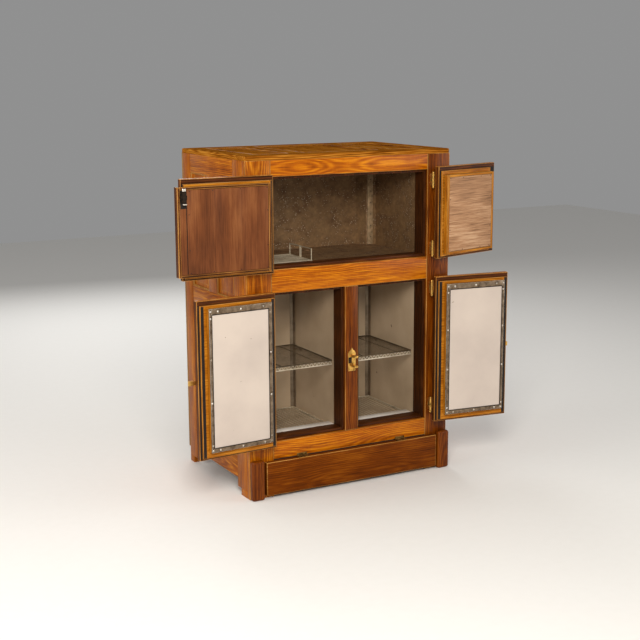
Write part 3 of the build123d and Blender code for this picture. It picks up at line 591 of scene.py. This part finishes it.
# ---- hinge halves on the case -------------------------------------------------------
PIN_X = OPEN_X + LIP + PIN_OFF
PIN_Y = FRONT - LEAF - PIN_OFF
hinges = Piece("hinge_case_halves")
for side in (-1, 1):
    for z in HINGE_Z:
        a, b = sorted((side * (PIN_X + 2.5), side * (PIN_X + 30)))
        hinges.board((a, FRONT - 2, z - 22), (b, FRONT, z + 22), "z", 0.6)
        a, b = sorted((side * (PIN_X + 2.5), side * (PIN_X + 5)))
        for low, high in ((z - 22, z - 7.7), (z + 7.7, z + 22)):
            hinges.board((a, PIN_Y, low), (b, FRONT - 1.5, high), "z", 0.4)
            hinges.rod((side * PIN_X, PIN_Y, low), (side * PIN_X, PIN_Y, high), 5.0, 16)
        hinges.rod((side * PIN_X, PIN_Y, z - 23), (side * PIN_X, PIN_Y, z + 23), 2.2, 12)
        for dz in (-1, 1):
            tip = z + dz * 25.0
            hinges.rod((side * PIN_X, PIN_Y, z + dz * 22), (side * PIN_X, PIN_Y, z + dz * 23.4), 5.6, 16)
            hinges.ball((side * PIN_X, PIN_Y, tip + dz * 1.5), (4.6, 4.6, 4.6), across=16, up=10)
        for dz in (-14, 14):
            for du in (12, 23):
                hinges.ball((side * (PIN_X + du), FRONT - 2, z + dz), (2.8, 1.2, 2.8))
for x in (-FLAP_HINGE_X, FLAP_HINGE_X):
    hinges.board((x - 20, FRONT - 1.2, FLAP_PIN_Z), (x + 20, FRONT, 148), "x", 0.4, surface=1)
    for a, b in ((-22, -7.4), (7.4, 22)):
        hinges.rod((x + a, FRONT - 2.7, FLAP_PIN_Z), (x + b, FRONT - 2.7, FLAP_PIN_Z), 2.4, 12, surface=1)
    hinges.rod((x - 22, FRONT - 2.7, FLAP_PIN_Z), (x + 22, FRONT - 2.7, FLAP_PIN_Z), 1.4, 10, surface=1)
hinges.done("cabinet", [brass, brass_dull], ["hinges_case"], "brass")


# ---- doors -------------------------------------------------------------------
def door_place(key):
    """The matrix from a door's own u, v, z to where it stands open."""
    joint = joints["hinge_" + key]
    side = 1.0 if joint["axis"][2] > 0 else -1.0
    angle = math.radians(-joint["range_deg"][0])
    u = Vector((-side * math.cos(angle), -math.sin(angle), 0))
    v = Vector((-u.y, u.x, 0)) * side
    pin = Vector((joint["pos_m"][0], joint["pos_m"][1], 0))
    return Matrix(((u.x, v.x, 0, pin.x), (u.y, v.y, 0, pin.y), (0, 0, 1, 0), (0, 0, 0, 1)))


U_MULL = PIN_X - MULL_X
DOORS = {
    # free edge of the leaf, of the rebated layer, plug from and to, plug bottom and top, opening
    "ul": (PIN_X + 12, PIN_X + 6, U_OPEN + 20, PIN_X + 36, UPPER[0] + 12, UPPER[1] - 12, UPPER),
    "ur": (PIN_X - 14, PIN_X - 48, U_OPEN + 12, PIN_X - 55, UPPER[0] + 12, UPPER[1] - 18, UPPER),
    "ll": (U_MULL + LIP, U_MULL - 4, U_OPEN + 26, U_MULL - 26, LOWER[0] + 27, LOWER[1] - 12, LOWER),
    "lr": (U_MULL + LIP, U_MULL - 4, U_OPEN + 26, U_MULL - 26, LOWER[0] + 27, LOWER[1] - 12, LOWER),
}


def ring_of(piece, u, z, v, place, surface, width=12.0):
    """Four strips round a door: from and to along it, up it and through it."""
    for a, b in ((u[0], u[0] + width), (u[1] - width, u[1])):
        piece.board((a, v[0], z[0]), (b, v[1], z[1]), "z", 1.5, place, surface, worn=2)
    for a, b in ((z[0], z[0] + width), (z[1] - width, z[1])):
        piece.board((u[0] + width, v[0], a), (u[1] - width, v[1], b), "x", 1.5, place, surface, worn=2)


for key, (leaf_end, step_end, plug_a, plug_b, plug_low, plug_high, opening) in DOORS.items():
    place = door_place(key)
    body = "door_" + key
    low, high = opening[0] - LIP, opening[1] + LIP_TOP
    frame_a, frame_b = PIN_OFF + RAIL, leaf_end - RAIL
    step_low, step_high = opening[0] + 4, opening[1] - 4

    leaf = Piece("door_leaf_" + key)
    for a, b in ((PIN_OFF, frame_a), (frame_b, leaf_end)):
        leaf.board((a, LEAF_BACK, low), (b, V_FACE, high), "z", 1.8, place, worn=1)
    for a, b in ((low, low + RAIL), (high - RAIL, high)):
        leaf.board((frame_a, LEAF_BACK, a), (frame_b, V_FACE - 0.3, b), "x", 1.8, place, worn=1)
    leaf.board((frame_a, LEAF_BACK, low + RAIL), (frame_b, V_FACE - 0.8, high - RAIL), "z", 0, place, worn=1,
               steps=((0, 1, 0), (0.8, -0.4), (4.5, -4.5), (0.5, -5.5), (26.0, 4.5), (0.6, 1.2)))
    # painted shade: dark strips on the shaded edges and a dark sheet over the inner face, clear of the frame
    # when shut
    for u in (PIN_OFF - 0.1, leaf_end + 0.1):
        leaf.board((u - 0.2, V_BACK + 2.6, low + 2), (u + 0.2, V_FACE - 2, high - 2), "z", 0, place, 2)
    leaf.board((PIN_OFF + 2, V_BACK + 0.25, low + 2), (leaf_end - 2, V_BACK + 0.7, high - 2), "x", 0,
               place, 2)
    leaf.done(body, [oak_side, oak_worn, oak_inside_and_shade], ("frame_" + key, "panel_" + key), "oak")

    # two layers of strips, with black felt between them as painted shade in the gap
    plug = Piece("door_plug_" + key)
    tone = 0 if key == "ul" else 1
    ring_of(plug, (U_OPEN + 4, step_end), (step_low, step_high), (V_STEP + 0.5, V_BACK - 2), place, tone)
    plug.board((U_OPEN + 6, V_STEP + 0.1, step_low + 2), (step_end - 2, V_STEP + 1, step_high - 2), "x", 0,
               place, 1)
    plug.board((U_OPEN + 8, V_BACK - 2.2, step_low + 4), (step_end - 4, V_BACK + 0.2, step_high - 4), "z", 0,
               place, 3)
    ring_of(plug, (plug_a, plug_b), (plug_low, plug_high), (V_PLUG, V_STEP - 2), place, tone)
    plug.board((plug_a + 3, V_PLUG + 0.3, plug_low + 3), (plug_b - 3, V_STEP + 0.2, plug_high - 3), "z", 0,
               place, 3)
    # black felt on the upright shoulders: painted shade
    for a, b in ((PIN_OFF + 3, U_OPEN + 7), (step_end - 2, leaf_end - 3)):
        if b - a > 2:
            plug.board((a, V_BACK + 0.1, step_low), (b, V_BACK + 0.3, step_high), "z", 0, place, 3)
    for a, b in ((U_OPEN + 6, plug_a - 9), (plug_b + 9, step_end - 2)):
        if b - a > 2:
            plug.board((a, V_STEP, step_low + 2), (b, V_STEP + 0.2, step_high - 2), "z", 0, place, 3)
    if key == "ul":
        plug.board((step_end - 1, V_STEP, plug_low), (plug_b, V_BACK - 4, plug_high), "z", 0.8, place, 0)
    if key in ("ul", "ur"):
        rim = V_PLUG - RIM_T
        for a, b in ((plug_a, plug_a + RIM_W), (plug_b - RIM_W, plug_b)):
            plug.board((a, rim, plug_low), (b, V_PLUG, plug_high), "z", 1.4, place, tone, worn=2)
        for a, b in ((plug_low, plug_low + RIM_W), (plug_high - RIM_W, plug_high)):
            plug.board((plug_a + RIM_W, rim, a), (plug_b - RIM_W, V_PLUG, b), "x", 1.4, place, tone, worn=2)
    plug.done(body, [oak_inside_and_shade, oak_rim, oak_worn, felt_shade], ["plug_" + key], "oak_inner")

    if key in ("ul", "ur"):
        ledge = LEDGE if key == "ul" else 0
        rim_a, rim_b = plug_a + RIM_W, plug_b - RIM_W
        rim_low, rim_high = plug_low + RIM_W, plug_high - RIM_W
        end = rim_b - ledge
        inner = Piece("door_inner_board_" + key)
        planks = 3 if ledge else 1
        width = (end - 1 - rim_a - 1.5) / planks
        for k in range(planks):
            a = rim_a + 1.5 + k * width
            inner.board((a, V_PLUG - 3, rim_low + 1.5), (a + width - 0.3, V_PLUG, rim_high - 1.5),
                        "z" if ledge else "x", 0.8, place)
        if ledge:
            inner.board((end + 1, V_PLUG - 1.2, rim_low + 1), (rim_b - 1, V_PLUG, rim_high - 62), "z", 0.6,
                        place)
        inner.done(body, [board_brown if ledge else board_grey], ["board_" + key], "oak_inner")
        nails = Piece("door_nails_" + key)
        middle = (plug_a + end) / 2
        for u in (plug_a + 14, middle - 40, middle + 60, end - 10):
            for z in (plug_low + 14, plug_high - 14):
                nails.ball((u, V_PLUG - 3.1, z), (1.8, 0.7, 1.8), place)
        for z in (plug_low + 90, plug_high - 90):
            for u in (plug_a + 13, end - 8):
                nails.ball((u, V_PLUG - 3.1, z), (1.8, 0.7, 1.8), place)
        nails.done(body, [dark_steel], slot="steel_strip")
    else:
        back = V_PLUG - SHEET
        sheet = Piece("door_enamel_" + key)
        sheet.board((plug_a + 2, back, plug_low + 2), (plug_b - 2, V_PLUG, plug_high - 2), "z", 0, place,
                    steps=((0, -1, 0), (14.0, 0.0), (20.0, 0.5), (60.0, 0.3)))
        sheet.done(body, [enamel_door], ["sheet_" + key], "enamel")
        # edging strips, wider at head and foot; a dark sheet showing round them and a dark line along each
        # inner edge are painted shade
        edging = Piece("door_edging_" + key)
        hinge_w, free_w, foot_w, head_w = 14.0, 11.0, 16.0, 22.0
        in_a, in_b = plug_a + hinge_w, plug_b - free_w
        in_low, in_high = plug_low + foot_w, plug_high - head_w
        for a, b in ((plug_a, in_a), (in_b, plug_b)):
            edging.board((a + 1, back - 1.2, plug_low + 1), (b - 1, back, plug_high - 1), "z", 0.5, place,
                         worn=1)
        for a, b in ((plug_low, in_low), (in_high, plug_high)):
            edging.board((in_a - 2, back - 1.0, a + 1), (in_b + 2, back, b - 1), "x", 0.5, place, worn=1)
        edging.board((plug_a + 0.2, back + 0.4, plug_low + 0.2), (plug_b - 0.2, back + 1.2, plug_high - 0.2),
                     "z", 0, place, 2)
        for a, b in ((in_a - 2, in_a + 1.2), (in_b - 1.2, in_b + 2)):
            edging.board((a, back - 1.6, in_low - 1), (b, back - 0.2, in_high + 1), "z", 0.5, place, 2)
        for a, b in ((in_low - 2, in_low + 1.2), (in_high - 1.2, in_high + 2)):
            edging.board((in_a, back - 1.6, a), (in_b, back - 0.2, b), "x", 0.5, place, 2)
        # slotted screws
        spots = []
        middle = (plug_low + plug_high) / 2
        for z in (plug_low + 8, plug_low + 26, middle - 75, middle + 75, plug_high - 34, plug_high - 10):
            spots += [(plug_a + hinge_w / 2, z), (plug_b - free_w / 2, z)]
        for u in (plug_a + 34, (plug_a + plug_b) / 2, plug_b - 34):
            spots += [(u, plug_low + foot_w / 2), (u, plug_high - head_w / 2)]
        for u, z in spots:
            edging.ball((u, back - 1.2, z), (3.2, 1.4, 3.2), place, 1)
            edging.board((u - 2.6, back - 2.75, z - 0.35), (u + 2.6, back - 2.2, z + 0.35), "x", 0, place, 2)
        edging.done(body, [strip_steel, screw_steel, dark_steel], ["strips_" + key], "steel_strip")


# painted highlights: pale pieces on the tips of the elbow catch where it catches the light
ul = door_place("ul")
elbow_u = DOORS["ul"][3] - RIM_W - LEDGE / 2
elbow_z = DOORS["ul"][5] - RIM_W - 24
tips = Piece("elbow_tip_highlights")
for near, far, bottom, top in ((-21.3, -12.8, -24.2, -20.8), (-13.3, -10.4, 20.0, 28.2)):
    tips.board((elbow_u - 6.2, V_PLUG + near, elbow_z + bottom), (elbow_u + 6.2, V_PLUG + far, elbow_z + top),
               "x", 0.8, ul)
tips.done("elbow", [screw_steel], slot="brass")

# ---- keeper on the mullion and catch plate under the top rail ------------------
keeper = Piece("latch_keeper")
at = Matrix.Translation(Vector((0, FRONT, KEEPER_Z)) * MM)
keeper.outline([(-14, -42), (14, -42), (16, -36), (16, 24), (11, 32), (5, 36), (0, 46), (-5, 36),
                (-11, 32), (-16, 24), (-16, -36)], 2.5, at, 0.8)
for low, high in ((12, 20), (-24, -16)):
    keeper.board((-8, FRONT - 36, KEEPER_Z + low), (8, FRONT - 2.4, KEEPER_Z + high), "z", 2.0, surface=0)
# a dark plate on the keeper's left: painted shadow beside its hook
keeper.board((-15, FRONT - 3.2, KEEPER_Z - 12), (-1, FRONT - 2.3, KEEPER_Z + 10), "z", 0.4, surface=1)
for dz in (-36, 32):
    keeper.ball((0, FRONT - 2.6, KEEPER_Z + dz), (3.4, 1.5, 3.4), surface=0)
keeper.board((4, -238.5, UPPER[1] - 12), (28, -216.5, UPPER[1] - 9), "x", 0.6, surface=1)
keeper.done("cabinet", [brass, dark_steel], ["keepers"], "brass")

# ---- wire shelves and racks -------------------------------------------------------------
def spaced(first, last, pitch):
    count = int((last - first - 6) // pitch)
    start = first + (last - first - (count - 1) * pitch) / 2
    return [start + k * pitch for k in range(count)]


def wire_frame(piece, x0, x1, y0, y1, z):
    """The outer rod of a shelf, one bent ring."""
    for x in (x0 + 3, x1 - 3):
        piece.rod((x, y0 + 3, z), (x, y1 - 3, z), 2.8, 10)
    for y in (y0 + 3, y1 - 3):
        piece.rod((x0 + 3, y, z), (x1 - 3, y, z), 2.8, 10)
    for x in (x0 + 3, x1 - 3):
        for y in (y0 + 3, y1 - 3):
            piece.ball((x, y, z), (2.8, 2.8, 2.8))


for side, body, x0, x1 in COMPARTMENTS:
    shelf = Piece("wire_shelf_" + side)
    wire_frame(shelf, x0, x1, SHELF_FRONT, GRID_BACK, SHELF_Z)
    for y in spaced(SHELF_FRONT, GRID_BACK, 13.0):
        shelf.rod((x0 + 0.6, y, SHELF_Z + 2), (x1 - 0.6, y, SHELF_Z + 2), 0.9, 6)
    for x in (x0 + 60, x1 - 60):
        shelf.rod((x, SHELF_FRONT + 3, SHELF_Z - 1.8), (x, GRID_BACK - 3, SHELF_Z - 1.8), 1.6, 8)
    # the zigzag truss along the front
    y, low, high = SHELF_FRONT + 3, SHELF_Z - 14.5, SHELF_Z - 0.5
    # the front truss in the brighter tin: a painted highlight
    shelf.rod((x0 + 3, y, low - 0.5), (x1 - 3, y, low - 0.5), 2.2, 10, surface=1)
    gap = (x1 - x0 - 6) / 17
    for k in range(17):
        a = x0 + 3 + k * gap
        shelf.rod((a, y, low), (a + gap / 2, y, high), 1.2, 6, surface=1)
        shelf.rod((a + gap / 2, y, high), (a + gap, y, low), 1.2, 6, surface=1)
    shelf.done("shelf_" + body, [wire_tin_shaded, wire_tin_lit], ["shelf_" + side], "wire")

    rack = Piece("wire_rack_" + side)
    wire_frame(rack, x0, x1, RACK_FRONT, GRID_BACK, RACK_Z)
    for x in spaced(x0, x1, 15.0):
        rack.rod((x, RACK_FRONT + 3, RACK_Z + 0.6), (x, GRID_BACK - 3, RACK_Z + 0.6), 1.3, 6)
    rack.done("rack_" + body, [wire_rack], ["floor_rack_" + side], "wire")

# white enamel apron before the floor racks, brightened as a painted highlight
aprons = Piece("floor_aprons")
for x0, x1 in ((-312.0, -28.5), (28.5, 312.0)):
    aprons.board((x0, -200.0, 200.0), (x1, RACK_FRONT - 4, 209.0), "x", 1.5)
aprons.done("cabinet", [enamel_floor_lit], slot="enamel")

# ---- air duct strip in the ice chamber -------------------------------------------
duct = Piece("duct_strip")
# the pale strip is a painted highlight on the duct's rolled edge
duct.board((276.0, 75.5, 831.0), (300.0, 77.7, 1140.0), "z", 0.6)
for z in range(860, 1130, 45):
    duct.ball((290.0, 75.2, z), (2.2, 1.0, 2.2), surface=1)
duct.done("cabinet", [zinc_highlight, dark_steel], slot="galvanised")

# ---- dark sill strips in the openings
sills = Piece("sill_strips")
for x0, x1, z in ((-OPEN_X, OPEN_X, UPPER[0]), (-OPEN_X, -MULL_X, LOWER[0]), (MULL_X, OPEN_X, LOWER[0])):
    sills.board((x0 + 9, -266.3, z + 9), (x1 - 9, -209, z + 10), "x", 0.3)
    sills.board((x0 + 9, -267.4, z + 0.5), (x1 - 9, -266.3, z + 9.4), "x", 0.3)
sills.done("cabinet", [oak_inside_and_shade], slot="oak_inner")

# ---- floor, light and camera ------------------------------------------------------
bpy.ops.mesh.primitive_plane_add(size=14)
floor = bpy.context.object
floor.name = "floor"
floor.data.materials.append(matt("floor_pale", "F2F0EC", "E6E3DD"))
floor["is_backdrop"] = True


def lamp(name, place, aim, size, power, tint):
    data = bpy.data.lights.new(name, "AREA")
    data.energy = power
    data.size = size
    data.color = tint
    made = bpy.data.objects.new(name, data)
    bpy.context.scene.collection.objects.link(made)
    made.location = place
    made.rotation_mode = "QUATERNION"
    made.rotation_quaternion = (Vector(aim) - Vector(place)).to_track_quat("-Z", "Y")


lamp("key", (-1.7, -3.3, 2.3), (0, 0, 0.6), 1.2, 120.0, (1.0, 0.96, 0.9))
lamp("fill", (3.2, -2.6, 1.6), (0, 0, 0.6), 2.4, 45.0, (1.0, 0.98, 0.95))
lamp("side", (-3.6, 0.2, 2.0), (0, 0, 0.6), 2.0, 50.0, (1.0, 0.97, 0.93))
lamp("behind", (0.5, 3.4, 2.4), (0, 0, 0.6), 2.6, 55.0, (1.0, 1.0, 1.0))

world = bpy.data.worlds.new("studio")
bpy.context.scene.world = world
world.use_nodes = True
world.node_tree.nodes["Background"].inputs[0].default_value = (1.0, 1.0, 1.0, 1.0)
world.node_tree.nodes["Background"].inputs[1].default_value = 0.28
bpy.context.scene.view_settings.view_transform = "Standard"

LENS, CAMERA_AT = 69.85, (-2.2014, -4.1084, 1.4986)
YAW, PITCH, ROLL = (math.radians(a) for a in (-28.401, -11.302, -0.313))
view_dir = Vector((math.sin(-YAW) * math.cos(PITCH), math.cos(YAW) * math.cos(PITCH), math.sin(PITCH)))
level = Vector((math.cos(YAW), math.sin(YAW), 0))
rise = level.cross(view_dir)
cam_x = level * math.cos(ROLL) + rise * math.sin(ROLL)
cam_y = -level * math.sin(ROLL) + rise * math.cos(ROLL)
camera_data = bpy.data.cameras.new("camera")
camera_data.sensor_width = 36.0
camera_data.lens = LENS
camera_data.clip_end = 60.0
camera = bpy.data.objects.new("camera", camera_data)
bpy.context.scene.collection.objects.link(camera)
turn = Matrix((cam_x, cam_y, -view_dir)).transposed()
camera.matrix_world = Matrix.Translation(CAMERA_AT) @ turn.to_4x4()
bpy.context.scene.camera = camera

low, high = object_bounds()
